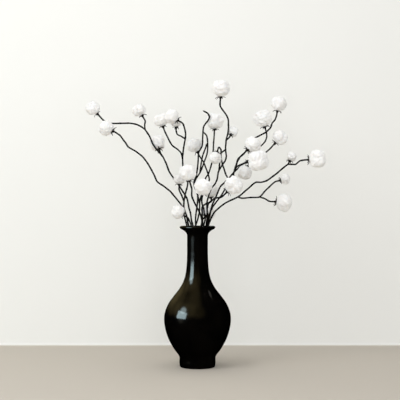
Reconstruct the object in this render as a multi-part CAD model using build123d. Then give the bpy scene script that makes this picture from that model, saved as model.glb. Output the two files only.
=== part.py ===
from build123d import *
from math import asin, cos, degrees, radians, sin, tan
import os

# Tall black-glazed bottle vase dressed with thirteen cut cotton branches.
# Millimetres, +Z up, the origin at the centre of the foot on the floor, the
# front of the arrangement toward -Y.  Every branch is loose: it stands on the
# vase floor by its own straight shaft and draws straight up out of the neck.

# ---- vase: one thrown and glazed piece -------------------------------------
HEIGHT = 450.0
FOOT_R = 56.0          # bottom edge of the foot
FOOT_TOP_R = 59.0      # where the belly meets the foot
FOOT_TOP_Z = 35.0
FOOT_NOTCH_R = 57.4    # the foot draws in a little under the belly
FOOT_NOTCH_Z = 27.0
RECESS_R = 47.0        # shallow hollow under the foot
RECESS_Z = 4.0
FLOOR_Z = 14.0         # inner floor
FLOOR_R = 40.0
NECK_R = 33.3
NECK_BORE_R = 28.5
NECK_TOP_Z = 414.0
LIP_R = 57.2
LIP_Z = 444.5
# belly and shoulder, foot to neck, as (radius, height)
BELLY = [(72.5, 53), (84, 72), (93.5, 91), (101, 113), (105.5, 134), (106.9, 153),
         (105.2, 170), (100, 187), (90.5, 206), (76, 226), (57, 251), (46.3, 270),
         (39.6, 290), (36, 311), (34.2, 334)]
# the same wall inside, about 5.5 mm further in
BELLY_INSIDE = [(56, 39.5), (68.1, 56.3), (79.3, 75), (88.4, 93.5), (95.6, 115), (100, 135.5),
                (101.4, 153), (99.7, 168.5), (94.9, 184.5), (85.8, 202.5), (71.4, 222.5),
                (52.4, 247.5), (41.2, 267.5), (34.4, 288.5), (30.9, 310), (29.1, 334)]
# underside of the lip, and the flare of the mouth
LIP_UNDER = [(34.2, 424), (38.6, 430.5), (46.6, 437)]
MOUTH = [(47.5, 444.5), (39.6, 436), (33.2, 428.5), (29.8, 419)]

# ---- branches ----------------------------------------------------------------
SHAFT_RING_R = 24.0    # the shafts stand in one ring inside the neck
SHAFT_FOOT_Z = 14.5    # the cut ends rest half a millimetre off the glaze
SHAFT_TOP_Z = 416.0
STEM_R = 2.6           # main shoot
TWIG_R = 2.1           # side shoots
KNUCKLE = 0.7          # how far a joint in the wood stands proud of the shoot
BEND_R = 12.0          # widest bend in a shoot
CALYX_CUP_H = 5.0      # dried cup under a boll
CALYX_CUP_R = 5.0
CALYX_T = 1.2          # the five bracts
CALYX_REACH = 0.5      # reach of a bract past the stalk, by boll radius, plus 2 mm
BOLL_SINK = 2.2        # how deep a boll is flattened where it sits on its bracts

# Each branch is a list of shoots.  "slot" is the place of its shaft round the
# neck in degrees (0 is the right-hand side, -90 the front).  The first shoot
# rises from the shaft; the others start at a point the shoots before them pass
# through.  "boll" is the centre and the diameter of the cotton that ends it;
# the stalk runs straight at the boll from the last point of its route.
BRANCHES = {
    "branch_01": dict(slot=210, shoots=[
        dict(route=[(-28, -16, 450), (-31, -19, 466), (-36, -22, 486), (-46, -27, 510),
                    (-70, -35, 541), (-89, -37, 563), (-109, -37, 578), (-128, -36, 592),
                    (-138, -34, 614), (-158, -30, 649), (-178, -27, 674), (-198, -25, 689),
                    (-220, -23, 702), (-233, -22, 721), (-248, -21, 740), (-260, -20, 748)],
             boll=(-291, -16, 762, 48))]),
    "branch_02": dict(slot=122, shoots=[
        dict(route=[(-15, 28, 450), (-20, 33, 472), (-23, 37, 490), (-28, 41, 510),
                    (-33, 46, 535), (-42, 50, 551), (-60, 55, 580), (-77, 58, 602),
                    (-94, 58, 629), (-105, 58, 659), (-115, 58, 676), (-128, 58, 691),
                    (-135, 58, 699), (-148, 57, 721), (-158, 56, 744), (-171, 55, 762),
                    (-184, 54, 772), (-199, 53, 779), (-224, 51, 783), (-254, 48, 782),
                    (-281, 44, 781), (-301, 40, 788), (-314, 37, 801)],
             boll=(-339, 32, 830, 46)),
        dict(route=[(-171, 55, 762), (-172, 56, 778), (-170, 57, 790)],
             boll=(-191, 58, 826, 42)),
        dict(route=[(-115, 58, 676), (-121, 64, 686)], boll=(-132, 86, 721, 51))]),
    "branch_03": dict(slot=180, shoots=[
        dict(route=[(-33, 1, 447), (-38, 3, 466), (-43, 5, 486), (-43, 7, 528),
                    (-40, 9, 548), (-34, 11, 572), (-32, 12, 592), (-38, 12, 605),
                    (-47, 12, 640), (-48, 11, 665), (-45, 12, 700), (-40, 12, 730),
                    (-38, 10, 746), (-42, 6, 765), (-48, 2, 779)],
             boll=(-83, -8, 800, 46)),
        dict(route=[(-48, 11, 665), (-53, 13, 685), (-63, 15, 695), (-81, 18, 708),
                    (-91, 20, 725), (-106, 22, 755)],
             boll=(-118, 22, 791, 44)),
        dict(route=[(-40, 12, 730), (-52, 20, 738), (-66, 28, 746), (-69, 31, 756)],
             boll=(-70, 32, 784, 32)),
        dict(route=[(-43, 7, 528), (-50, 4, 545), (-59, 2, 568)], boll=(-58, 0, 600, 34))]),
    "branch_04": dict(slot=-72, shoots=[
        dict(route=[(10, -30, 441), (14, -38, 468), (8, -50, 492), (-1, -62, 508),
                    (-9, -72, 524), (-18, -81, 546), (-18, -88, 568)],
             boll=(-31, -104, 618, 52))]),
    "branch_05": dict(slot=92, shoots=[
        dict(route=[(-6, 30, 450), (-6, 42, 484), (-3, 52, 504), (0, 65, 530),
                    (0, 72, 550), (-9, 80, 574), (-11, 86, 592), (-6, 90, 607),
                    (0, 95, 638), (2, 98, 664), (4, 100, 690), (15, 102, 711),
                    (17, 104, 746), (20, 106, 776), (39, 108, 809), (34, 108, 819),
                    (20, 108, 827)]),
        dict(route=[(-6, 30, 450), (1, 40, 474), (6, 52, 498), (6, 66, 525), (1, 80, 546),
                    (-8, 92, 573), (-9, 98, 593), (-5, 101, 603), (8, 104, 623),
                    (20, 106, 654), (31, 108, 685), (33, 108, 721), (29, 108, 747),
                    (22, 108, 755)]),
        dict(route=[(8, 104, 623), (11, 112, 649), (17, 114, 680), (27, 115, 707),
                    (30, 115, 718)]),
        dict(route=[(6, 66, 525), (12, 84, 546), (22, 100, 564), (31, 112, 582),
                    (39, 118, 600), (34, 124, 622), (21, 132, 657), (6, 137, 681)],
             boll=(-13, 140, 716, 52)),
        dict(route=[(31, 112, 582), (26, 113, 605), (35, 114, 618), (43, 117, 639),
                    (47, 120, 654), (51, 122, 691), (52, 124, 706), (54, 126, 732)],
             boll=(58, 131, 796, 56))]),
    "branch_06": dict(slot=0, shoots=[
        dict(route=[(31, -3, 446), (31, -4, 490), (30, -4, 526), (37, -6, 550),
                    (45, -8, 570), (55, -7, 583), (62, -6, 597), (68, -4, 625),
                    (79, -3, 645), (89, -2, 660), (92, -2, 672), (90, 0, 690),
                    (90, 0, 706), (92, 0, 725), (97, 0, 745), (99, 0, 769),
                    (98, 0, 790), (93, 0, 803), (83, 0, 818), (73, 0, 834)],
             boll=(74, -1, 891, 58)),
        dict(route=[(68, -4, 625), (70, -6, 640), (72, -7, 660), (75, -8, 682),
                    (88, -8, 693)]),
        dict(route=[(92, 0, 725), (100, -6, 731)], boll=(114, 13, 753, 34))]),
    "branch_07": dict(slot=-18, shoots=[
        dict(route=[(30, -16, 446), (38, -32, 480), (46, -42, 515), (60, -46, 547),
                    (74, -47, 577), (97, -47, 599), (107, -48, 611), (117, -49, 624),
                    (121, -50, 634), (143, -66, 647)],
             boll=(188, -95, 656, 64)),
        dict(route=[(121, -50, 634), (126, -46, 654), (131, -42, 664)],
             boll=(175, -20, 709, 50)),
        dict(route=[(97, -47, 599), (91, -46, 611), (84, -45, 631), (79, -44, 647),
                    (75, -44, 662), (74, -44, 680), (74, -45, 693), (68, -47, 700)],
             boll=(55, -54, 666, 38))]),
    "branch_08": dict(slot=36, shoots=[
        dict(route=[(28, 22, 448), (36, 32, 480), (46, 41, 505), (61, 48, 526),
                    (76, 54, 546), (91, 60, 571), (116, 67, 604), (119, 70, 624),
                    (126, 75, 647), (133, 79, 668), (153, 84, 686), (183, 91, 733),
                    (205, 95, 746), (226, 98, 757), (241, 99, 772), (246, 100, 786),
                    (256, 101, 798), (260, 101, 809)],
             boll=(268, 102, 852, 52)),
        dict(route=[(119, 70, 624), (140, 74, 643), (161, 76, 660), (179, 76, 671),
                    (187, 76, 694), (194, 76, 701), (210, 76, 712), (223, 76, 727),
                    (227, 76, 740), (226, 77, 752)],
             boll=(213, 80, 801, 59)),
        dict(route=[(179, 76, 671), (197, 75, 677), (218, 75, 685), (238, 75, 702)],
             boll=(271, 76, 738, 49)),
        dict(route=[(161, 76, 660), (172, 72, 655)], boll=(153, 62, 623, 47))]),
    "branch_09": dict(slot=18, shoots=[
        dict(route=[(34, 9, 450), (44, 18, 474), (56, 30, 496), (68, 36, 506),
                    (78, 39, 514), (90, 40, 523), (103, 39, 530), (117, 36, 536),
                    (130, 30, 543), (160, 22, 567), (188, 20, 590), (204, 22, 590),
                    (223, 26, 595), (252, 32, 616), (278, 38, 637), (293, 40, 648),
                    (318, 38, 649), (331, 36, 660), (342, 34, 662)],
             boll=(388, 28, 665, 58)),
        dict(route=[(130, 30, 543), (142, 24, 539), (171, 14, 541), (199, 8, 543),
                    (216, 6, 561), (236, 4, 581), (250, 2, 592)],
             boll=(281, -6, 600, 32)),
        dict(route=[(199, 8, 543), (214, 4, 538), (230, 0, 529)], boll=(277, -8, 525, 54)),
        dict(route=[(293, 40, 648)], boll=(306, 46, 674, 32))]),
    "branch_10": dict(slot=-36, shoots=[
        dict(route=[(26, -24.5, 446), (31, -40, 480), (31, -56, 505), (35, -68, 522),
                    (47, -78, 533), (58, -88, 539), (72, -93, 541), (82, -94, 548)],
             boll=(113, -95, 579, 58))]),
    "branch_11": dict(slot=-54, shoots=[
        dict(route=[(19, -28, 445), (24, -44, 475), (20, -62, 500), (15, -82, 520),
                    (13, -99, 530)],
             boll=(18, -130, 573, 52))]),
    "branch_12": dict(slot=56, shoots=[
        dict(route=[(16, 30, 448), (16, 45, 470), (15, 58, 490), (16, 72, 512),
                    (30, 76, 522), (45, 77, 528)],
             boll=(43, 74, 564, 45)),
        dict(route=[(16, 45, 470)], boll=(37, 72, 491, 41))]),
    "branch_13": dict(slot=240, shoots=[
        dict(route=[(-18, -30, 446), (-24, -38, 464), (-31, -46, 477)],
             boll=(-62, -63, 496, 43))]),
}


def ring_point(angle, height):
    a = radians(angle)
    return SHAFT_RING_R * cos(a), SHAFT_RING_R * sin(a), height


def boll_seat(last_point, boll):
    """Direction of the stalk at a boll, and the point where its cup begins."""
    centre = Vector(*boll[:3])
    along = (centre - Vector(*last_point)).normalized()
    stand_off = boll[3] / 2 - BOLL_SINK + CALYX_CUP_H + CALYX_T
    return centre - along * stand_off, along


def bend_radii(points, radius):
    """As wide a bend at every corner as its two runs allow, up to BEND_R."""
    radii = []
    for a, b, c in zip(points, points[1:], points[2:]):
        turn = radians((b - a).get_angle(c - b))
        room = 0.45 * min((b - a).length, (c - b).length) / max(tan(turn / 2), 1e-3)
        radii.append(max(min(room, BEND_R), radius * 1.1))
    return radii


def shoot_solid(points, radius):
    points = [Vector(*p) for p in points]
    if len(points) == 2:
        path = Line(*points)
    else:
        path = FilletPolyline(*points, radius=bend_radii(points, radius))
    section = Plane(origin=path @ 0, z_dir=path % 0) * Circle(radius)
    return sweep(section, path=path)


def calyx_solid(seat, along, boll_d):
    """A small cup and a star of five pointed bracts square to the stalk."""
    reach = 2 + boll_d / 2 * CALYX_REACH
    star = []
    for i in range(10):
        a = radians(36 * i)
        r = reach if i % 2 == 0 else CALYX_CUP_R + 0.6
        star.append((r * cos(a), r * sin(a)))
    cup = Cone(STEM_R + 0.2, CALYX_CUP_R, CALYX_CUP_H, align=(Align.CENTER, Align.CENTER, Align.MIN))
    bracts = extrude(make_face(Polyline(*star, close=True)), CALYX_T)
    return Plane(origin=seat, z_dir=along) * (cup + Pos(0, 0, CALYX_CUP_H) * bracts)


def boll_solid(along, boll):
    r = boll[3] / 2
    cut = -degrees(asin((r - BOLL_SINK) / r))
    return Plane(origin=boll[:3], z_dir=along) * Sphere(r, arc_size1=cut, align=None)


def make_vase():
    with BuildPart() as vase:
        with BuildSketch(Plane.XZ):
            with BuildLine():
                foot = Polyline((0, RECESS_Z), (RECESS_R, RECESS_Z), (RECESS_R + 2, 0), (FOOT_R, 0),
                                (FOOT_NOTCH_R + 0.9, 16), (FOOT_NOTCH_R, FOOT_NOTCH_Z),
                                (FOOT_TOP_R, FOOT_TOP_Z))
                Spline(foot @ 1, *BELLY, (NECK_R, 365), tangents=[(0.62, 0.78), (0, 1)])
                Line((NECK_R, 365), (NECK_R, NECK_TOP_Z))
                Spline((NECK_R, NECK_TOP_Z), *LIP_UNDER, (LIP_R, LIP_Z), (52.5, HEIGHT),
                       tangents=[(0, 1), (-1, 0)])
                Spline((52.5, HEIGHT), *MOUTH, (NECK_BORE_R, 408), tangents=[(-1, 0), (0, -1)])
                Line((NECK_BORE_R, 408), (NECK_BORE_R, 360))
                Spline((NECK_BORE_R, 360), *reversed(BELLY_INSIDE), (FLOOR_R, FLOOR_Z),
                       tangents=[(0, -1), (-1, 0)])
                Polyline((FLOOR_R, FLOOR_Z), (0, FLOOR_Z), (0, RECESS_Z))
            make_face()
        revolve(axis=Axis.Z)
    return vase.part


def make_branch(spec):
    """Return the wood, the calyxes and the bolls of one branch."""
    wood, calyxes, bolls = None, [], []
    for number, shoot in enumerate(spec["shoots"]):
        points = list(shoot["route"])
        radius = TWIG_R if number else STEM_R
        if number == 0:
            points = [ring_point(spec["slot"], SHAFT_FOOT_Z),
                      ring_point(spec["slot"], SHAFT_TOP_Z)] + points
        if "boll" in shoot:
            seat, along = boll_seat(points[-1], shoot["boll"])
            points.append(tuple(seat))
            calyxes.append(calyx_solid(seat, along, shoot["boll"][3]))
            bolls.append(boll_solid(along, shoot["boll"]))
        solid = shoot_solid(points, radius)
        if number:
            first_run = Vector(*points[1]) - Vector(*points[0])
            knuckle = Plane(origin=points[0], z_dir=first_run) * Sphere(STEM_R + KNUCKLE)
            wood = wood + knuckle + solid
        else:
            wood = solid
    return wood, calyxes, bolls


os.makedirs("parts", exist_ok=True)
export_step(make_vase(), "parts/vase.step")
for name, spec in BRANCHES.items():
    wood, calyxes, bolls = make_branch(spec)
    export_step(wood, f"parts/{name}_stem.step")
    if bolls:
        export_step(Compound(children=calyxes), f"parts/{name}_calyxes.step")
        export_step(Compound(children=bolls), f"parts/{name}_bolls.step")
    print(name, "wood volume", round(wood.volume), "solids", len(wood.solids()), "bolls", len(bolls))
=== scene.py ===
import math

import bpy
import numpy as np
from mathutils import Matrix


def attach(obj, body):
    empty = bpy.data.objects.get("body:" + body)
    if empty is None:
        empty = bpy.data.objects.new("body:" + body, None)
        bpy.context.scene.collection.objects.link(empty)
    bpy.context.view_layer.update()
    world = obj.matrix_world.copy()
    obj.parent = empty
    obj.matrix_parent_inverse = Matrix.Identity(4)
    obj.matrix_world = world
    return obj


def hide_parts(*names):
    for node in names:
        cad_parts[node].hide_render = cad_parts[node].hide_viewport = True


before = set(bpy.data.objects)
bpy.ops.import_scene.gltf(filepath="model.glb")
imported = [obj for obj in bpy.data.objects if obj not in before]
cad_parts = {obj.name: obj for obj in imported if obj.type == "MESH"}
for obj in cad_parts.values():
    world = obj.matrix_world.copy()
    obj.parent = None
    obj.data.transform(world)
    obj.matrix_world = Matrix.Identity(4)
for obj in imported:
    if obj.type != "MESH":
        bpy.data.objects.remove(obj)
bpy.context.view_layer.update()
print("frame loaded:", len(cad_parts), "nodes")

mm = 0.001


def hexLinear(code):
    # sRGB hex to linear red, green, blue: the usual 2.4 power curve with its straight toe
    c = np.array([int(code[i:i + 2], 16) for i in (1, 3, 5)]) / 255
    lin = np.where(c <= 0.04045, c / 12.92, ((c + 0.055) / 1.055) ** 2.4)
    return (*lin.tolist(), 1.0)


def addNode(tree, kind, settings=None, inputs=None, links=None):
    # one node: its settings, its socket values, then links as {socket: (other node, output)}
    node = tree.nodes.new(kind)
    for key, value in (settings or {}).items():
        setattr(node, key, value)
    for key, value in (inputs or {}).items():
        node.inputs[key].default_value = value
    for key, (other, output) in (links or {}).items():
        tree.links.new(other.outputs[output], node.inputs[key])
    return node


def newMaterial(name):
    mat = bpy.data.materials.new(name)
    mat.use_nodes = True
    mat.node_tree.nodes.clear()
    return mat, mat.node_tree


def setRamp(node, stops):
    ramp = node.color_ramp
    while len(ramp.elements) < len(stops):
        ramp.elements.new(0.5)
    for element, (place, code) in zip(ramp.elements, stops):
        element.position = place
        element.color = hexLinear(code)


def buildMesh(name, parts):
    # parts: list of (vertices, quads, triangles) arrays in metres, put into one mesh
    verts, faces, start = [], [], 0
    for v, quads, tris in parts:
        verts.append(v)
        faces += (quads + start).tolist() + (tris + start).tolist()
        start += len(v)
    mesh = bpy.data.meshes.new(name)
    mesh.from_pydata(np.concatenate(verts).tolist(), [], faces)
    mesh.polygons.foreach_set("use_smooth", np.ones(len(faces), dtype=bool))
    mesh.update()
    obj = bpy.data.objects.new(name, mesh)
    bpy.context.collection.objects.link(obj)
    return obj


def gridFaces(rows, cols):
    # quads of a grid that closes on itself across its columns
    a = np.arange(rows - 1)[:, None] * cols + np.arange(cols)[None, :]
    b = np.arange(rows - 1)[:, None] * cols + (np.arange(cols)[None, :] + 1) % cols
    return np.stack([a, b, b + cols, a + cols], axis=-1).reshape(-1, 4)


def closedTube(path, sideA, sideB, halfA, halfB, sides):
    # rings round a path: centre + halfA*cos(t)*sideA + halfB*sin(t)*sideB, with a point at each end
    t = np.linspace(0, 2 * math.pi, sides, endpoint=False)
    ring = (halfA[:, None, None] * np.cos(t)[None, :, None] * sideA[:, None, :]
            + halfB[:, None, None] * np.sin(t)[None, :, None] * sideB[:, None, :])
    verts = (path[:, None, :] + ring).reshape(-1, 3)
    n = len(path)
    first, last = n * sides, n * sides + 1
    verts = np.concatenate([verts, path[:1], path[-1:]])
    k = np.arange(sides)
    k2 = (k + 1) % sides
    startFan = np.stack([np.full(sides, first), k2, k], axis=-1)
    endFan = np.stack([np.full(sides, last), (n - 1) * sides + k, (n - 1) * sides + k2], axis=-1)
    return verts, gridFaces(n, sides), np.concatenate([startFan, endFan])


def unit(v):
    return v / np.linalg.norm(v, axis=-1, keepdims=True)


def smoothPath(points, step, tight=1.0):
    # a cubic through every point: at each one the slope is the mean of its two runs' slopes,
    # weighted to the shorter run and times tight, and the samples are step apart along the runs
    p = np.array(points, dtype=float)
    h = np.linalg.norm(np.diff(p, axis=0), axis=1)
    runs = np.diff(p, axis=0) / h[:, None]
    slope = np.empty_like(p)
    slope[0], slope[-1] = runs[0], runs[-1]
    w = h[1:] / (h[1:] + h[:-1])
    slope[1:-1] = runs[:-1] * w[:, None] + runs[1:] * (1 - w)[:, None]
    slope = slope * tight
    at = np.concatenate([[0], np.cumsum(h)])
    s = np.linspace(0, at[-1], max(int(at[-1] / step), 2) + 1)
    i = np.clip(np.searchsorted(at, s, side="right") - 1, 0, len(h) - 1)
    t = ((s - at[i]) / h[i])[:, None]
    hi = h[i][:, None]
    out = ((2 * t**3 - 3 * t**2 + 1) * p[i] + (t**3 - 2 * t**2 + t) * hi * slope[i]
           + (3 * t**2 - 2 * t**3) * p[i + 1] + (t**3 - t**2) * hi * slope[i + 1])
    return out, s


def sideVectors(path):
    # two directions square to the path: its cross product with one fixed slant, then the third axis
    along = unit(np.gradient(path, axis=0))
    slant = np.array([0.35, 0.92, 0.18])
    a = unit(np.cross(along, slant))
    return a, np.cross(along, a)


def waveNoise(points, seed, count=9):
    # smooth noise: the mean of cosine waves with random directions and phases
    rng = np.random.default_rng(seed)
    waves = rng.normal(size=(count, points.shape[-1]))
    phase = rng.uniform(0, 2 * math.pi, count)
    return np.cos(points @ waves.T + phase).mean(axis=-1)


# Branch routes in millimetres, the same as the solid parts.
# Each branch is a list of shoots. slot is where its shaft stands round the neck, in degrees.
# boll is the centre and diameter of the cotton that ends the shoot.

branches = {
    "branch_01": dict(slot=210, shoots=[
        dict(route=[(-28, -16, 450), (-31, -19, 466), (-36, -22, 486), (-46, -27, 510),
                    (-70, -35, 541), (-89, -37, 563), (-109, -37, 578), (-128, -36, 592),
                    (-138, -34, 614), (-158, -30, 649), (-178, -27, 674), (-198, -25, 689),
                    (-220, -23, 702), (-233, -22, 721), (-248, -21, 740), (-260, -20, 748)],
             boll=(-291, -16, 762, 48))]),
    "branch_02": dict(slot=122, shoots=[
        dict(route=[(-15, 28, 450), (-20, 33, 472), (-23, 37, 490), (-28, 41, 510),
                    (-33, 46, 535), (-42, 50, 551), (-60, 55, 580), (-77, 58, 602),
                    (-94, 58, 629), (-105, 58, 659), (-115, 58, 676), (-128, 58, 691),
                    (-135, 58, 699), (-148, 57, 721), (-158, 56, 744), (-171, 55, 762),
                    (-184, 54, 772), (-199, 53, 779), (-224, 51, 783), (-254, 48, 782),
                    (-281, 44, 781), (-301, 40, 788), (-314, 37, 801)],
             boll=(-339, 32, 830, 46)),
        dict(route=[(-171, 55, 762), (-172, 56, 778), (-170, 57, 790)],
             boll=(-191, 58, 826, 42)),
        dict(route=[(-115, 58, 676), (-121, 64, 686)], boll=(-132, 86, 721, 51))]),
    "branch_03": dict(slot=180, shoots=[
        dict(route=[(-33, 1, 447), (-38, 3, 466), (-43, 5, 486), (-43, 7, 528),
                    (-40, 9, 548), (-34, 11, 572), (-32, 12, 592), (-38, 12, 605),
                    (-47, 12, 640), (-48, 11, 665), (-45, 12, 700), (-40, 12, 730),
                    (-38, 10, 746), (-42, 6, 765), (-48, 2, 779)],
             boll=(-83, -8, 800, 46)),
        dict(route=[(-48, 11, 665), (-53, 13, 685), (-63, 15, 695), (-81, 18, 708),
                    (-91, 20, 725), (-106, 22, 755)],
             boll=(-118, 22, 791, 44)),
        dict(route=[(-40, 12, 730), (-52, 20, 738), (-66, 28, 746), (-69, 31, 756)],
             boll=(-70, 32, 784, 32)),
        dict(route=[(-43, 7, 528), (-50, 4, 545), (-59, 2, 568)], boll=(-58, 0, 600, 34))]),
    "branch_04": dict(slot=-72, shoots=[
        dict(route=[(10, -30, 441), (14, -38, 468), (8, -50, 492), (-1, -62, 508),
                    (-9, -72, 524), (-18, -81, 546), (-18, -88, 568)],
             boll=(-31, -104, 618, 52))]),
    "branch_05": dict(slot=92, shoots=[
        dict(route=[(-6, 30, 450), (-6, 42, 484), (-3, 52, 504), (0, 65, 530),
                    (0, 72, 550), (-9, 80, 574), (-11, 86, 592), (-6, 90, 607),
                    (0, 95, 638), (2, 98, 664), (4, 100, 690), (15, 102, 711),
                    (17, 104, 746), (20, 106, 776), (39, 108, 809), (34, 108, 819),
                    (20, 108, 827)]),
        dict(route=[(-6, 30, 450), (1, 40, 474), (6, 52, 498), (6, 66, 525), (1, 80, 546),
                    (-8, 92, 573), (-9, 98, 593), (-5, 101, 603), (8, 104, 623),
                    (20, 106, 654), (31, 108, 685), (33, 108, 721), (29, 108, 747),
                    (22, 108, 755)]),
        dict(route=[(8, 104, 623), (11, 112, 649), (17, 114, 680), (27, 115, 707),
                    (30, 115, 718)]),
        dict(route=[(6, 66, 525), (12, 84, 546), (22, 100, 564), (31, 112, 582),
                    (39, 118, 600), (34, 124, 622), (21, 132, 657), (6, 137, 681)],
             boll=(-13, 140, 716, 52)),
        dict(route=[(31, 112, 582), (26, 113, 605), (35, 114, 618), (43, 117, 639),
                    (47, 120, 654), (51, 122, 691), (52, 124, 706), (54, 126, 732)],
             boll=(58, 131, 796, 56))]),
    "branch_06": dict(slot=0, shoots=[
        dict(route=[(31, -3, 446), (31, -4, 490), (30, -4, 526), (37, -6, 550),
                    (45, -8, 570), (55, -7, 583), (62, -6, 597), (68, -4, 625),
                    (79, -3, 645), (89, -2, 660), (92, -2, 672), (90, 0, 690),
                    (90, 0, 706), (92, 0, 725), (97, 0, 745), (99, 0, 769),
                    (98, 0, 790), (93, 0, 803), (83, 0, 818), (73, 0, 834)],
             boll=(74, -1, 891, 58)),
        dict(route=[(68, -4, 625), (70, -6, 640), (72, -7, 660), (75, -8, 682),
                    (88, -8, 693)]),
        dict(route=[(92, 0, 725), (100, -6, 731)], boll=(114, 13, 753, 34))]),
    "branch_07": dict(slot=-18, shoots=[
        dict(route=[(30, -16, 446), (38, -32, 480), (46, -42, 515), (60, -46, 547),
                    (74, -47, 577), (97, -47, 599), (107, -48, 611), (117, -49, 624),
                    (121, -50, 634), (143, -66, 647)],
             boll=(188, -95, 656, 64)),
        dict(route=[(121, -50, 634), (126, -46, 654), (131, -42, 664)],
             boll=(175, -20, 709, 50)),
        dict(route=[(97, -47, 599), (91, -46, 611), (84, -45, 631), (79, -44, 647),
                    (75, -44, 662), (74, -44, 680), (74, -45, 693), (68, -47, 700)],
             boll=(55, -54, 666, 38))]),
    "branch_08": dict(slot=36, shoots=[
        dict(route=[(28, 22, 448), (36, 32, 480), (46, 41, 505), (61, 48, 526),
                    (76, 54, 546), (91, 60, 571), (116, 67, 604), (119, 70, 624),
                    (126, 75, 647), (133, 79, 668), (153, 84, 686), (183, 91, 733),
                    (205, 95, 746), (226, 98, 757), (241, 99, 772), (246, 100, 786),
                    (256, 101, 798), (260, 101, 809)],
             boll=(268, 102, 852, 52)),
        dict(route=[(119, 70, 624), (140, 74, 643), (161, 76, 660), (179, 76, 671),
                    (187, 76, 694), (194, 76, 701), (210, 76, 712), (223, 76, 727),
                    (227, 76, 740), (226, 77, 752)],
             boll=(213, 80, 801, 59)),
        dict(route=[(179, 76, 671), (197, 75, 677), (218, 75, 685), (238, 75, 702)],
             boll=(271, 76, 738, 49)),
        dict(route=[(161, 76, 660), (172, 72, 655)], boll=(153, 62, 623, 47))]),
    "branch_09": dict(slot=18, shoots=[
        dict(route=[(34, 9, 450), (44, 18, 474), (56, 30, 496), (68, 36, 506),
                    (78, 39, 514), (90, 40, 523), (103, 39, 530), (117, 36, 536),
                    (130, 30, 543), (160, 22, 567), (188, 20, 590), (204, 22, 590),
                    (223, 26, 595), (252, 32, 616), (278, 38, 637), (293, 40, 648),
                    (318, 38, 649), (331, 36, 660), (342, 34, 662)],
             boll=(388, 28, 665, 58)),
        dict(route=[(130, 30, 543), (142, 24, 539), (171, 14, 541), (199, 8, 543),
                    (216, 6, 561), (236, 4, 581), (250, 2, 592)],
             boll=(281, -6, 600, 32)),
        dict(route=[(199, 8, 543), (214, 4, 538), (230, 0, 529)], boll=(277, -8, 525, 54)),
        dict(route=[(293, 40, 648)], boll=(306, 46, 674, 32))]),
    "branch_10": dict(slot=-36, shoots=[
        dict(route=[(26, -24.5, 446), (31, -40, 480), (31, -56, 505), (35, -68, 522),
                    (47, -78, 533), (58, -88, 539), (72, -93, 541), (82, -94, 548)],
             boll=(113, -95, 579, 58))]),
    "branch_11": dict(slot=-54, shoots=[
        dict(route=[(19, -28, 445), (24, -44, 475), (20, -62, 500), (15, -82, 520),
                    (13, -99, 530)],
             boll=(18, -130, 573, 52))]),
    "branch_12": dict(slot=56, shoots=[
        dict(route=[(16, 30, 448), (16, 45, 470), (15, 58, 490), (16, 72, 512),
                    (30, 76, 522), (45, 77, 528)],
             boll=(43, 74, 564, 45)),
        dict(route=[(16, 45, 470)], boll=(37, 72, 491, 41))]),
    "branch_13": dict(slot=240, shoots=[
        dict(route=[(-18, -30, 446), (-24, -38, 464), (-31, -46, 477)],
             boll=(-62, -63, 496, 43))]),
}

shaft = {
    "ring": 24.0,        # mm from the vase's axis
    "foot": 14.5,        # mm above the floor
    "knots": [130, 300, 385, 404, 416],  # heights the straight part passes through
}

stem = {
    "mainR": 2.75,       # mm at the shaft
    "twigR": 2.5,
    "tipShare": 0.94,    # radius left at a main tip, and at a side one
    "sideTipShare": 0.98,
    "step": 2.4,         # mm between rings
    "shaftStep": 9.0,
    "sides": 12,
    "nodeGap": 27.0,     # mm between the swellings where buds were
    "firstNode": (8, 20),
    "nodeShift": 7,      # mm a swelling may be out of even spacing
    "nodeHeight": 0.5,
    "nodeSizes": (0.5, 1.25),
    "nodeLength": 2.2,
    "stalkGap": 4.0,     # mm from the stalk's end to the boll
    "wander": 0.99,      # mm the wood strays from its route
    "wanderLength": 9.0,  # mm: the scale of each slow wave along the wood
    "uneven": 0.07,      # share by which the radius varies
    "unevenLength": 3.1,
    "oval": 0.05,
    "ovalLength": 5.0,
    "hold": 12.0,        # mm at each end over which the wood keeps to its route
    "freeFrom": 425.0,   # height above which a shaft may stray, at full after freeOver
    "freeOver": 40.0,
    "straightTo": 400.0,  # height under which the shaft's rings are far apart
    "flare": 0.9,        # mm a side shoot widens where it forks
    "flareLength": 2.2,
    "tight": 0.72,       # below 1 the runs stay straighter and the kinks are sharper
}


def stalkEnd(lastPoint, boll):
    # the stalk runs straight at the boll, and stops short of its centre by half the boll
    # and the gap; the second result is its direction
    centre, q = np.array(boll[:3], dtype=float), np.array(lastPoint, dtype=float)
    along = unit(centre - q)
    return centre - along * (boll[3] / 2 + stem["stalkGap"]), along


def shootPoints(spec, number):
    # the shoot's route, and the stalk's end where it carries a boll
    shoot = spec["shoots"][number]
    points = [np.array(p, dtype=float) for p in shoot["route"]]
    if "boll" in shoot:
        points.append(stalkEnd(points[-1], shoot["boll"])[0])
    return points


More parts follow.
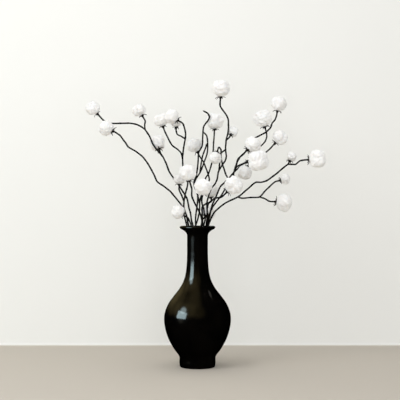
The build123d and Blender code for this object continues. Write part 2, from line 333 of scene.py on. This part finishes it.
def twig(points, startR, endR, seed, flare, shaftPoints=0):
    # a round tube: radius falls evenly to the tip, swells by a bell curve at each bud scar,
    # and the centre line strays by a slow smooth wave; flare widens its foot where it forks
    path, s = smoothPath(points, stem["step"], stem["tight"])
    if shaftPoints:
        straight = path[:, 2] < stem["straightTo"]
        keep = ~straight
        keep[np.flatnonzero(straight)[::int(stem["shaftStep"] / stem["step"])]] = True
        path, s = path[keep], s[keep]
    rng = np.random.default_rng(seed)
    free = np.clip(s / stem["hold"], 0, 1)
    if shaftPoints:
        free = np.clip((path[:, 2] - stem["freeFrom"]) / stem["freeOver"], 0, 1)
    free = free * np.clip((s[-1] - s) / stem["hold"], 0, 1)
    along = s[:, None]
    stray = np.stack([waveNoise(along / stem["wanderLength"], seed * 7 + k) for k in range(3)],
                     axis=-1)
    path = path + stray * stem["wander"] * free[:, None]
    r = startR + (endR - startR) * (s / s[-1]) ** 0.9
    r = r * (1 + stem["uneven"] * waveNoise(along / stem["unevenLength"], seed + 50))
    places = np.arange(rng.uniform(*stem["firstNode"]), s[-1] - 4, stem["nodeGap"])
    places = places + rng.uniform(-stem["nodeShift"], stem["nodeShift"], len(places))
    size = rng.uniform(*stem["nodeSizes"], len(places)) * stem["nodeHeight"]
    bump = size[None, :] * np.exp(-((along - places[None, :]) / stem["nodeLength"]) ** 2)
    r = r + bump.sum(axis=1)
    if flare:
        r = r + stem["flare"] * np.exp(-s / stem["flareLength"])
    r[-1] = r[-1] * 0.8
    a, b = sideVectors(path)
    oval = 1 + stem["oval"] * waveNoise(along / stem["ovalLength"], seed + 90)
    return closedTube(path * mm, a, b, r * oval * mm, r * mm, stem["sides"])


bud = {"length": 6.0, "behind": 2.6, "r": 1.75}  # mm, on a shoot that carries no boll


def bareTip(point, before):
    # an egg on the shoot's line: its radius follows a half sine from end to end
    along = unit(np.array(point, dtype=float) - np.array(before, dtype=float))
    t = np.linspace(0, 1, 9)
    path = np.array(point)[None, :] + along[None, :] * (t[:, None] * bud["length"] - bud["behind"])
    r = bud["r"] * np.sin(math.pi * np.clip(t, 0.03, 0.97)) ** 0.7
    a, b = sideVectors(path)
    return closedTube(path * mm, a, b, r * mm, r * mm, 10)


def makeStem(name, spec, seed):
    # the first shoot stands on its straight shaft in the neck, and the others fork from it
    parts = []
    angle = math.radians(spec["slot"])
    foot = np.array([shaft["ring"] * math.cos(angle), shaft["ring"] * math.sin(angle)])
    for number in range(len(spec["shoots"])):
        points = shootPoints(spec, number)
        if number == 0:
            heights = [shaft["foot"]] + shaft["knots"]
            points = [np.array([foot[0], foot[1], z]) for z in heights] + points
            tipR = stem["mainR"] * stem["tipShare"]
            parts.append(twig(points, stem["mainR"], tipR, seed, False, len(heights)))
        else:
            tipR = stem["twigR"] * stem["sideTipShare"]
            parts.append(twig(points, stem["twigR"], tipR, seed + number, True))
        if "boll" not in spec["shoots"][number]:
            parts.append(bareTip(points[-1], points[-2]))
    return buildMesh(name, parts)


calyx = {
    # (height, radius) in mm from the stalk's end
    "cup": [(-5.0, 1.7), (-2.8, 2.3), (-0.6, 3.3), (1.6, 4.3), (3.6, 4.6), (5.2, 3.6), (6.0, 1.6)],
    "cupSides": 14,
    "prongs": 5,
    "prongPoints": 14,
    "prongSides": 8,
    "width": 4.2,        # mm across a prong at its root
    "thickness": 2.6,    # a dry prong is folded along its middle
    "rootR": 3.0,
    "rise": 4.3,         # height at which the prongs leave the cup
    "twist": 1.2,        # radians a dry prong may turn on itself
    "reach": 4.5,        # mm a prong reaches past half the boll's radius
    "arch": 1.3,         # mm a prong bows up on its way out
    "droop": (1.0, 8.0),  # mm its tip may hang
    "lean": 0.2,         # share of its length by which it may bend aside
    "spread": 0.25,      # radians it may stand out of even spacing
}


def stalkFrame(along):
    # two directions square to the stalk's line
    a = unit(np.cross(along, np.array([0.31, 0.87, 0.38])))
    return a, np.cross(along, a)


def makeCalyxes(name, spec, seed):
    # each one is a small cup turned on the stalk's line, with pointed dry prongs that
    # spread under the boll and curl back at their tips
    parts = []
    for number, shoot in enumerate(spec["shoots"]):
        if "boll" not in shoot:
            continue
        rng = np.random.default_rng(seed * 31 + number)
        seat, along = stalkEnd(shoot["route"][-1], shoot["boll"])
        a, b = stalkFrame(along)
        cup = np.array(calyx["cup"])
        path = seat[None, :] + along[None, :] * cup[:, :1]
        ones = np.ones((len(cup), 1))
        parts.append(closedTube(path * mm, ones * a, ones * b, cup[:, 1] * mm, cup[:, 1] * mm,
                                calyx["cupSides"]))
        reach = calyx["reach"] + shoot["boll"][3] / 4
        turn = rng.uniform(0, 2 * math.pi)
        t = np.linspace(0, 1, calyx["prongPoints"])[:, None]
        for k in range(calyx["prongs"]):
            phi = (turn + 2 * math.pi * k / calyx["prongs"]
                   + rng.uniform(-calyx["spread"], calyx["spread"]))
            out = math.cos(phi) * a + math.sin(phi) * b
            across = np.cross(along, out)
            length, droop = reach * rng.uniform(0.8, 1.04), rng.uniform(*calyx["droop"])
            lean, twist = rng.uniform(-1, 1) * calyx["lean"], rng.uniform(-1, 1) * calyx["twist"]
            rise = calyx["rise"] + calyx["arch"] * np.sin(math.pi * t * 0.8) - droop * t**2.2
            outward = calyx["rootR"] + (length - calyx["rootR"]) * t
            line = seat + along * rise + out * outward + across * lean * length * t**2
            up = unit(np.cross(unit(np.gradient(line, axis=0)), across[None, :]))
            flat = np.cos(twist * t) * across + np.sin(twist * t) * up
            edge = np.cos(twist * t) * up - np.sin(twist * t) * across
            halfW = calyx["width"] / 2 * (1 - t[:, 0]) ** 0.42 + 0.25
            halfT = calyx["thickness"] / 2 * (1 - 0.55 * t[:, 0])
            parts.append(closedTube(line * mm, flat, edge, halfW * mm, halfT * mm,
                                    calyx["prongSides"]))
    return buildMesh(name, parts)


cotton = {
    "rows": 84,
    "cols": 112,
    "lockOffset": 0.47,  # how far a lock's middle is from the boll's, by radius
    "lockR": 0.6,
    "crease": 44.0,      # higher is sharper between the locks
    "tuft": 0.17,        # height of the soft lumps, by radius
    "tuftScale": 6.0,    # waves per radius
    "fluff": 0.09,       # height of the finer ones
    "fluffScale": 15.0,
    "strands": 520,      # loose fibres on one boll
    "strandR": 0.13,     # mm: coarser than real lint, so that a fibre shows at all
    "strandLength": 13.0,
    "strandLift": 5.0,   # mm a fibre's free end may stand off
    "strandPoints": 6,
    "curl": 1.6,         # radians a fibre turns along its length
    "bare": -0.72,       # no fibres below this height over the middle, by radius
    "seat": 2.4,         # mm of the base that is pressed flat on the prongs
    "pressed": 0.12,     # height left of what was below the seat
}


def bollRadius(d, locks, seed):
    # the furthest of several overlapping balls along direction d, blended softly,
    # plus two sizes of smooth lumps; everything by the boll's own radius
    off = locks * cotton["lockOffset"]
    dc = d @ off.T
    inside = cotton["lockR"] ** 2 - (off**2).sum(axis=1)[None, :] + dc**2
    reach = dc + np.sqrt(np.maximum(inside, 0.01))
    soft = np.log(np.exp(reach * cotton["crease"]).sum(axis=1)) / cotton["crease"]
    tufts = cotton["tuft"] * waveNoise(d * cotton["tuftScale"], seed, 12)
    fluff = cotton["fluff"] * waveNoise(d * cotton["fluffScale"], seed + 1, 20)
    return soft - 0.01 + (tufts + fluff)


def bollLocks(rng):
    # four or five puffs round the stalk's line, each drawn out from base to top as three
    # balls at set tilts, then one ball in the top and one in the base
    count = rng.integers(4, 6)
    phi = rng.uniform(0, 2 * math.pi) + 2 * math.pi * np.arange(count) / count
    phi = phi + rng.uniform(-0.16, 0.16, count)
    locks = [np.stack([np.cos(phi) * math.cos(tilt), np.sin(phi) * math.cos(tilt),
                       np.full(count, math.sin(tilt))], axis=-1)
             for tilt in (0.62, 0.05, -0.55)]
    size = rng.uniform(0.9, 1.06, (count, 1))
    ends = [[0.1, 0.06, 0.62], [0.0, 0.0, -0.88]]
    return np.concatenate([lock * size for lock in locks] + [ends])


def makeBoll(boll, along, seed):
    # a ball of rings and columns pushed out to bollRadius, a little flattened, set on its stalk
    rng = np.random.default_rng(seed)
    radius, centre = boll[3] / 2, np.array(boll[:3], dtype=float)
    a, b = stalkFrame(along)
    locks = bollLocks(rng)
    theta = np.linspace(0, math.pi, cotton["rows"] + 2)[1:-1]
    turn = np.linspace(0, 2 * math.pi, cotton["cols"], endpoint=False)
    st, ct = np.sin(theta)[:, None], np.cos(theta)[:, None]
    d = np.stack([st * np.cos(turn), st * np.sin(turn), ct * np.ones_like(turn)[None, :]],
                 axis=-1).reshape(-1, 3)
    d = np.concatenate([d, [[0, 0, 1]], [[0, 0, -1]]])
    squash = np.array([rng.uniform(0.98, 1.03), rng.uniform(0.98, 1.03), rng.uniform(0.93, 0.99)])
    local = d * bollRadius(d, locks, seed)[:, None] * squash * radius
    seatZ = -(radius - cotton["seat"])
    under = seatZ + (local[:, 2] - seatZ) * cotton["pressed"]
    local[:, 2] = np.where(local[:, 2] < seatZ, under, local[:, 2])
    turnTo = np.stack([a, b, along])
    verts = (centre + local @ turnTo) * mm
    rows, cols = cotton["rows"], cotton["cols"]
    c = np.arange(cols)
    c2 = (c + 1) % cols
    top = np.stack([np.full(cols, rows * cols), c, c2], axis=-1)
    last = (rows - 1) * cols
    bottom = np.stack([np.full(cols, rows * cols + 1), last + c2, last + c], axis=-1)
    ball = (verts, gridFaces(rows, cols)[:, ::-1], np.concatenate([top, bottom]))
    return [ball, makeStrands(centre, radius, turnTo, locks, squash, seed)]


def makeStrands(centre, radius, turnTo, locks, squash, seed):
    # loose lint: each fibre is a thin three-sided tube that starts in the surface, runs along it
    # in a curl and lifts clear at its end; all fibres are worked out together
    rng = np.random.default_rng(seed + 900)
    m = cotton["strandPoints"]
    d = unit(rng.normal(size=(cotton["strands"], 3)))
    d = d[d[:, 2] > cotton["bare"]]
    n = len(d)
    side = unit(np.cross(d, rng.normal(size=(n, 3))))
    other = np.cross(d, side)
    t = np.linspace(0, 1, m)[None, :, None]
    length = cotton["strandLength"] * rng.uniform(0.5, 1.2, (n, 1, 1)) / radius
    curl = rng.uniform(-cotton["curl"], cotton["curl"], (n, 1, 1))
    lift = cotton["strandLift"] * rng.uniform(0.1, 1.0, (n, 1, 1)) ** 1.5 / radius
    bend = np.where(np.abs(curl) < 0.05, 0.05, curl)
    heading = side[:, None, :] * np.sin(curl * t) / bend
    heading = heading + other[:, None, :] * (1 - np.cos(curl * t)) / bend
    along = unit(d[:, None, :] + heading * length)
    r = bollRadius(along.reshape(-1, 3), locks, seed).reshape(n, m, 1)
    path = along * (r - 0.012 + lift * t**1.6) * squash * radius
    path[..., 2] = np.maximum(path[..., 2], -(radius - 3.0))
    run = unit(np.gradient(path, axis=1))
    u = unit(np.cross(run, along))
    v = np.cross(run, u)
    angle = np.linspace(0, 2 * math.pi, 3, endpoint=False)
    thin = cotton["strandR"] * (1 - 0.75 * t[..., 0])
    ring = (np.cos(angle)[None, None, :, None] * u[:, :, None, :]
            + np.sin(angle)[None, None, :, None] * v[:, :, None, :]) * thin[:, :, None, None]
    local = (path[:, :, None, :] + ring).reshape(-1, 3)
    verts = (centre + local @ turnTo) * mm
    base = (np.arange(n) * m * 3)[:, None, None]
    quads = (gridFaces(m, 3)[None, :, :] + base).reshape(-1, 4)
    caps = np.array([[0, 2, 1], [m * 3 - 3, m * 3 - 2, m * 3 - 1]])[None, :, :] + base
    return verts, quads, caps.reshape(-1, 3)


def makeBolls(name, spec, seed):
    parts = []
    for number, shoot in enumerate(spec["shoots"]):
        if "boll" in shoot:
            along = stalkEnd(shoot["route"][-1], shoot["boll"])[1]
            parts += makeBoll(shoot["boll"], along, seed * 53 + number * 7)
    return buildMesh(name, parts)


vase = {
    # (radius, height) in mm, from the middle of the underside round to the middle of the inner
    # floor; a "line" run is straight, a "curve" run is a smooth curve through its points
    "runs": [
        ("line", [(0, 4), (47, 4), (49, 0.4)]),
        ("curve", [(49, 0.4), (50.2, 0), (54.6, 0), (56, 1.2)]),
        ("curve", [(56, 1.2), (58.1, 14), (57.6, 26), (58.4, 33), (62.4, 40), (72.5, 53), (84, 72),
                   (93.5, 91), (101, 113), (105.5, 134), (106.9, 153), (105.2, 170), (100, 187),
                   (90.5, 206), (76, 226), (57, 251), (46.3, 270), (39.6, 290), (36, 311),
                   (34.2, 334), (33.3, 365)]),
        ("line", [(33.3, 365), (33.3, 414)]),
        ("curve", [(33.3, 414), (34.2, 424), (38.6, 430.5), (46.6, 437), (54.4, 441.2),
                   (57.1, 444.5), (56.6, 448), (52.5, 450)]),
        ("curve", [(52.5, 450), (47.5, 444.9), (39.6, 436), (33.2, 428.5), (29.8, 419),
                   (28.5, 408)]),
        ("line", [(28.5, 408), (28.5, 360)]),
        ("curve", [(28.5, 360), (29.1, 334), (30.9, 310), (34.4, 288.5), (41.2, 267.5),
                   (52.4, 247.5), (71.4, 222.5), (85.8, 202.5), (94.9, 184.5), (99.7, 168.5),
                   (101.4, 153), (100, 135.5), (95.6, 115), (88.4, 93.5), (79.3, 75),
                   (68.1, 56.3), (56, 39.5), (48, 20), (40, 14)]),
        ("line", [(40, 14), (0, 14)]),
    ],
    "step": 2.5,         # mm between rings on a curve, and on a straight run
    "lineStep": 6.0,
    "sides": 200,
}


def makeVase(name):
    # a profile carried once round the axis: radius times cosine, radius times sine, height;
    # the two ends of the profile meet the axis in a point
    rows = []
    for kind, points in vase["runs"]:
        p = np.array(points, dtype=float)
        if kind == "line":
            runs = [np.linspace(a, b, max(int(np.linalg.norm(b - a) / vase["lineStep"]), 1) + 1)
                    for a, b in zip(p[:-1], p[1:])]
            p = np.concatenate([r[:-1] for r in runs] + [p[-1:]])
        else:
            flat = np.column_stack([p, np.zeros(len(p))])
            p = smoothPath(flat, vase["step"])[0][:, :2]
        rows.append(p[:-1])
    profile = np.concatenate(rows + [np.array([[0.0, 14.0]])])
    profile[:, 1] = np.maximum(profile[:, 1], 0.0)
    inner = profile[1:-1]
    turn = np.linspace(0, 2 * math.pi, vase["sides"], endpoint=False)
    ring = np.stack([inner[:, :1] * np.cos(turn), inner[:, :1] * np.sin(turn),
                     inner[:, 1:] * np.ones_like(turn)], axis=-1).reshape(-1, 3)
    verts = np.concatenate([ring, [[0, 0, profile[0, 1]], [0, 0, profile[-1, 1]]]]) * mm
    n, cols = len(inner), vase["sides"]
    c = np.arange(cols)
    c2 = (c + 1) % cols
    under = np.stack([np.full(cols, n * cols), c2, c], axis=-1)
    last = (n - 1) * cols
    floor = np.stack([np.full(cols, n * cols + 1), last + c, last + c2], axis=-1)
    return buildMesh(name, [(verts, gridFaces(n, cols), np.concatenate([under, floor]))])


def makeGlaze():
    # black glazed stoneware: dipped and fired, so it is glassy, nearly black with iron brown
    # where it lies thin, and very slightly uneven like orange peel
    mat, tree = newMaterial("blackGlazedStoneware")
    coords = addNode(tree, "ShaderNodeTexCoord")
    pool = addNode(tree, "ShaderNodeTexNoise",
                   inputs={"Scale": 14.0, "Detail": 3.0, "Roughness": 0.5},
                   links={"Vector": (coords, "Object")})  # pools about 70 mm across
    tint = addNode(tree, "ShaderNodeValToRGB", links={"Fac": (pool, "Fac")})
    setRamp(tint, [(0.35, "#020202"), (0.75, "#090705")])
    peel = addNode(tree, "ShaderNodeTexNoise",
                   inputs={"Scale": 240.0, "Detail": 2.0, "Roughness": 0.4},
                   links={"Vector": (coords, "Object")})  # lumps about 4 mm across
    rough = addNode(tree, "ShaderNodeMapRange", inputs={"To Min": 0.09, "To Max": 0.15},
                    links={"Value": (pool, "Fac")})
    bump = addNode(tree, "ShaderNodeBump", inputs={"Strength": 0.06, "Distance": 0.0005},
                   links={"Height": (peel, "Fac")})
    surf = addNode(tree, "ShaderNodeBsdfPrincipled",
                   inputs={"IOR": 1.5, "Specular IOR Level": 0.45},
                   links={"Base Color": (tint, "Color"), "Roughness": (rough, "Result"),
                          "Normal": (bump, "Normal")})
    addNode(tree, "ShaderNodeOutputMaterial", links={"Surface": (surf, "BSDF")})
    return mat


def makeBark():
    # dried cotton wood: thin, dark, dull bark with fine lengthwise cracks and paler rubbed spots
    mat, tree = newMaterial("driedCottonBark")
    coords = addNode(tree, "ShaderNodeTexCoord")
    stretch = addNode(tree, "ShaderNodeMapping", inputs={"Scale": (1.0, 1.0, 0.22)},
                      links={"Vector": (coords, "Object")})
    streak = addNode(tree, "ShaderNodeTexNoise",
                     inputs={"Scale": 1400.0, "Detail": 4.0, "Roughness": 0.6},
                     links={"Vector": (stretch, "Vector")})  # cracks about 0.7 by 3 mm
    patch = addNode(tree, "ShaderNodeTexNoise", inputs={"Scale": 60.0, "Detail": 2.0},
                    links={"Vector": (coords, "Object")})  # rubbed spots about 17 mm apart
    shade = addNode(tree, "ShaderNodeMix", settings={"data_type": "FLOAT"}, inputs={"Factor": 0.45},
                    links={2: (streak, "Fac"), 3: (patch, "Fac")})
    tint = addNode(tree, "ShaderNodeValToRGB", links={"Fac": (shade, 0)})
    setRamp(tint, [(0.38, "#040303"), (0.54, "#0c0907"), (0.7, "#2e2319")])
    bump = addNode(tree, "ShaderNodeBump", inputs={"Strength": 0.8, "Distance": 0.0007},
                   links={"Height": (streak, "Fac")})
    surf = addNode(tree, "ShaderNodeBsdfPrincipled",
                   inputs={"Roughness": 0.75, "Specular IOR Level": 0.22},
                   links={"Base Color": (tint, "Color"), "Normal": (bump, "Normal")})
    addNode(tree, "ShaderNodeOutputMaterial", links={"Surface": (surf, "BSDF")})
    return mat


def makeHusk():
    # dry seed-case bracts: papery brown, mottled darker and paler in small patches that follow the
    # same noise as the bump
    mat, tree = newMaterial("dryCottonHusk")
    coords = addNode(tree, "ShaderNodeTexCoord")
    grain = addNode(tree, "ShaderNodeTexNoise",
                    inputs={"Scale": 700.0, "Detail": 3.0, "Roughness": 0.55},
                    links={"Vector": (coords, "Object")})  # mottling about 1.4 mm across
    tint = addNode(tree, "ShaderNodeValToRGB", links={"Fac": (grain, "Fac")})
    setRamp(tint, [(0.3, "#0c0806"), (0.6, "#1d150f"), (0.85, "#443326")])
    bump = addNode(tree, "ShaderNodeBump", inputs={"Strength": 0.45, "Distance": 0.0004},
                   links={"Height": (grain, "Fac")})
    surf = addNode(tree, "ShaderNodeBsdfPrincipled",
                   inputs={"Roughness": 0.8, "Specular IOR Level": 0.3},
                   links={"Base Color": (tint, "Color"), "Normal": (bump, "Normal")})
    addNode(tree, "ShaderNodeOutputMaterial", links={"Surface": (surf, "BSDF")})
    return mat


def makeLint():
    # raw cotton lint: matte white fibre that scatters light inside it, with a soft sheen at
    # grazing angles; faint cream painted shade in the hollows between its tufts, where the bump
    # sinks
    mat, tree = newMaterial("rawCottonLint")
    coords = addNode(tree, "ShaderNodeTexCoord")
    tuft = addNode(tree, "ShaderNodeTexNoise",
                   inputs={"Scale": 260.0, "Detail": 5.0, "Roughness": 0.65, "Distortion": 0.8},
                   links={"Vector": (coords, "Object")})  # tufts about 4 mm across
    # painted shade: the ramp turns faint cream where the tuft noise is low, where the bump sinks
    tint = addNode(tree, "ShaderNodeValToRGB", links={"Fac": (tuft, "Fac")})
    setRamp(tint, [(0.25, "#f3f1ec"), (0.5, "#fbfaf8"), (0.8, "#fefefd")])
    fibre = addNode(tree, "ShaderNodeTexNoise",
                    inputs={"Scale": 1100.0, "Detail": 4.0, "Roughness": 0.7, "Distortion": 2.5},
                    links={"Vector": (coords, "Object")})  # swirls about 1 mm across
    height = addNode(tree, "ShaderNodeMix", settings={"data_type": "FLOAT"}, inputs={"Factor": 0.4},
                     links={2: (tuft, "Fac"), 3: (fibre, "Fac")})
    bump = addNode(tree, "ShaderNodeBump", inputs={"Strength": 0.5, "Distance": 0.0012},
                   links={"Height": (height, 0)})
    surf = addNode(tree, "ShaderNodeBsdfPrincipled",
                   inputs={"Roughness": 0.95, "Specular IOR Level": 0.15, "Subsurface Weight": 0.35,
                           "Subsurface Radius": (0.006, 0.0055, 0.005), "Subsurface Scale": 1.0,
                           "Sheen Weight": 0.25, "Sheen Roughness": 0.6},
                   links={"Base Color": (tint, "Color"), "Normal": (bump, "Normal")})
    addNode(tree, "ShaderNodeOutputMaterial", links={"Surface": (surf, "BSDF")})
    return mat


glaze, bark, husk, lint = makeGlaze(), makeBark(), makeHusk(), makeLint()
print("materials made")


def place(piece, body, node, slotName, mat):
    # the piece takes its material, the solid it stands for and the body it moves with; the slot
    # name is not used
    piece.data.materials.append(mat)
    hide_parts(node)
    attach(piece, body)


place(makeVase("vaseThrown"), "vase", "vase", "glaze", glaze)
print("vase made")

for order, (name, spec) in enumerate(branches.items()):
    tag = name[-2:]
    place(makeStem("stem" + tag, spec, order * 101 + 3), name, name + "_stem", "bark", bark)
    place(makeCalyxes("calyxes" + tag, spec, order + 11), name, name + "_calyxes", "husk", husk)
    place(makeBolls("bolls" + tag, spec, order + 5), name, name + "_bolls", "cotton", lint)
    print(name, "made")


room = {
    # warm room seen in the glaze: degrees round from the front, and watts; then how far off
    # in metres, degrees up, and the height they look at
    "glow": [(-150, 24), (-112, 22), (-74, 30), (-36, 24), (2, 13)],
    "glowAway": 3.6,
    "glowLevel": 32,
    "glowAt": 0.25,
    "wallY": 0.46,       # m behind the vase
    "coveR": 0.012,
    "halfWidth": 6.0,
    "height": 4.0,
    "depth": 6.0,        # how far the floor goes in front of the vase and behind it
    "floorTint": "#c9c1b5",
    "wallTint": "#f4f4f0",
}


def makeRoom():
    # a pale sweep: floor, a quarter-round cove and a wall, as one strip carried sideways;
    # it is clear from its back, so that the object can be seen from every side
    turn = np.linspace(0, math.pi / 2, 12)
    r = room["coveR"]
    cove = np.stack([room["wallY"] - r + r * np.sin(turn), r - r * np.cos(turn)], axis=-1)
    line = np.concatenate([[[-room["depth"], 0.0]], cove, [[room["wallY"], room["height"]]]])
    n = len(line)
    ends = (-room["halfWidth"], room["halfWidth"])
    strip = [np.column_stack([np.full(n, x), line]) for x in ends]
    back = [[x, y, 0.0] for x in ends for y in (room["wallY"] - room["coveR"], room["depth"])]
    verts = np.concatenate(strip + [back])
    a = np.arange(n - 1)
    behind = 2 * n + np.array([[0, 2, 3, 1]])
    quads = np.concatenate([np.stack([a, a + n, a + n + 1, a + 1], axis=-1), behind])
    obj = buildMesh("sweep", [(verts, quads, np.zeros((0, 3), dtype=int))])
    mat, tree = newMaterial("matteWallPaint")
    coords = addNode(tree, "ShaderNodeTexCoord")
    xyz = addNode(tree, "ShaderNodeSeparateXYZ", links={"Vector": (coords, "Object")})
    step = addNode(tree, "ShaderNodeMapRange", inputs={"From Min": 0.001, "From Max": 0.006},
                   links={"Value": (xyz, "Z")})
    tint = addNode(tree, "ShaderNodeMix", settings={"data_type": "RGBA"},
                   inputs={"A": hexLinear(room["floorTint"]), "B": hexLinear(room["wallTint"])},
                   links={"Factor": (step, "Result")})
    surf = addNode(tree, "ShaderNodeBsdfPrincipled", inputs={"Roughness": 0.8},
                   links={"Base Color": (tint, 2)})
    side = addNode(tree, "ShaderNodeNewGeometry")
    clear = addNode(tree, "ShaderNodeBsdfTransparent")
    oneSided = addNode(tree, "ShaderNodeMixShader",
                       links={0: (side, "Backfacing"), 1: (surf, "BSDF"), 2: (clear, "BSDF")})
    addNode(tree, "ShaderNodeOutputMaterial", links={"Surface": (oneSided, "Shader")})
    obj.data.materials.append(mat)
    obj.visible_glossy = False  # the glaze then mirrors only the lights set for it


def addLight(name, spot, target, size, power, tint, glossy, core=1.0):
    # glossy lights are seen only in the glaze, the others only light the matte surfaces;
    # core is the share of a glossy light's half width that is at full strength, and past it
    # the light fades to nothing at an ellipse inside its edge
    data = bpy.data.lights.new(name, "AREA")
    data.shape = "RECTANGLE"
    data.size, data.size_y = size
    data.energy = power
    data.color = hexLinear(tint)[:3]
    if core < 1:
        data.use_nodes = True
        tree = data.node_tree
        across = addNode(tree, "ShaderNodeNewGeometry")
        far = addNode(tree, "ShaderNodeVectorMath", {"operation": "DISTANCE"}, {1: (0.5, 0.5, 0)},
                      {0: (across, "Parametric")})
        fade = addNode(tree, "ShaderNodeMapRange", {"interpolation_type": "SMOOTHSTEP"},
                       {"From Min": 0.5, "From Max": 0.5 * core}, {"Value": (far, "Value")})
        tree.links.new(fade.outputs["Result"], tree.nodes["Emission"].inputs["Strength"])
    obj = bpy.data.objects.new(name, data)
    bpy.context.collection.objects.link(obj)
    obj.location = spot
    aim = np.array(target) - np.array(spot)
    tilt = math.atan2(aim[2], math.hypot(aim[0], aim[1]))
    obj.rotation_euler = (math.pi / 2 + tilt, 0, math.atan2(aim[1], aim[0]) - math.pi / 2)
    obj.visible_glossy = glossy
    obj.visible_diffuse = not glossy


makeRoom()
addLight("window", (-2.10, -1.31, 0.93), (0, 0, 0.22), (1.6, 1.08), 58, "#cfeaf0", True)
addLight("windowTop", (-1.87, -1.17, 1.60), (0, 0, 0.22), (1.3, 1.05), 27, "#cfeaf0", True, 0.5)
addLight("sill", (-2.0, -1.25, 0.12), (0, 0, 0.3), (1.2, 1.0), 1.6, "#e8e0cc", True, 0.1)
addLight("roomTop", (-0.9, -1.7, 4.0), (0, 0, 0.25), (5.2, 4.6), 24, "#ffe6a0", True, 0.2)
for number, (turn, power) in enumerate(room["glow"]):
    level, around = math.radians(room["glowLevel"]), math.radians(turn)
    out, up = room["glowAway"] * math.cos(level), room["glowAway"] * math.sin(level)
    spot = (out * math.sin(around), -out * math.cos(around), room["glowAt"] + up)
    addLight(f"glow{number}", spot, (0, 0, room["glowAt"]), (4.6, 4.6), power, "#ffe6a0", True, 0.2)
addLight("key", (-1.5, -1.5, 2.2), (0, 0, 0.6), (1.6, 1.6), 21, "#ffffff", False)
addLight("fill", (0.2, -3.4, 0.8), (0, 0, 0.4), (2.4, 1.6), 26, "#f9fbff", False)
addLight("wallWash", (0.2, -0.9, 2.6), (0.2, 0.46, 0.7), (2.6, 0.8), 4, "#ffffff", False)

world = bpy.data.worlds.new("softRoom")
bpy.context.scene.world = world
world.use_nodes = True
background = world.node_tree.nodes["Background"]
background.inputs["Color"].default_value = hexLinear("#f5f6f7")
background.inputs["Strength"].default_value = 0.78
world.cycles_visibility.glossy = False

camData = bpy.data.cameras.new("frontView")
camData.sensor_width = 36
camData.lens = 91.5
camera = bpy.data.objects.new("frontView", camData)
camera.location = (0.008, -3.254, 0.533)
camera.rotation_euler = (math.pi / 2, 0, 0)
bpy.context.collection.objects.link(camera)
bpy.context.scene.camera = camera
bpy.context.scene.view_settings.view_transform = "Standard"
print("room, light and camera set")
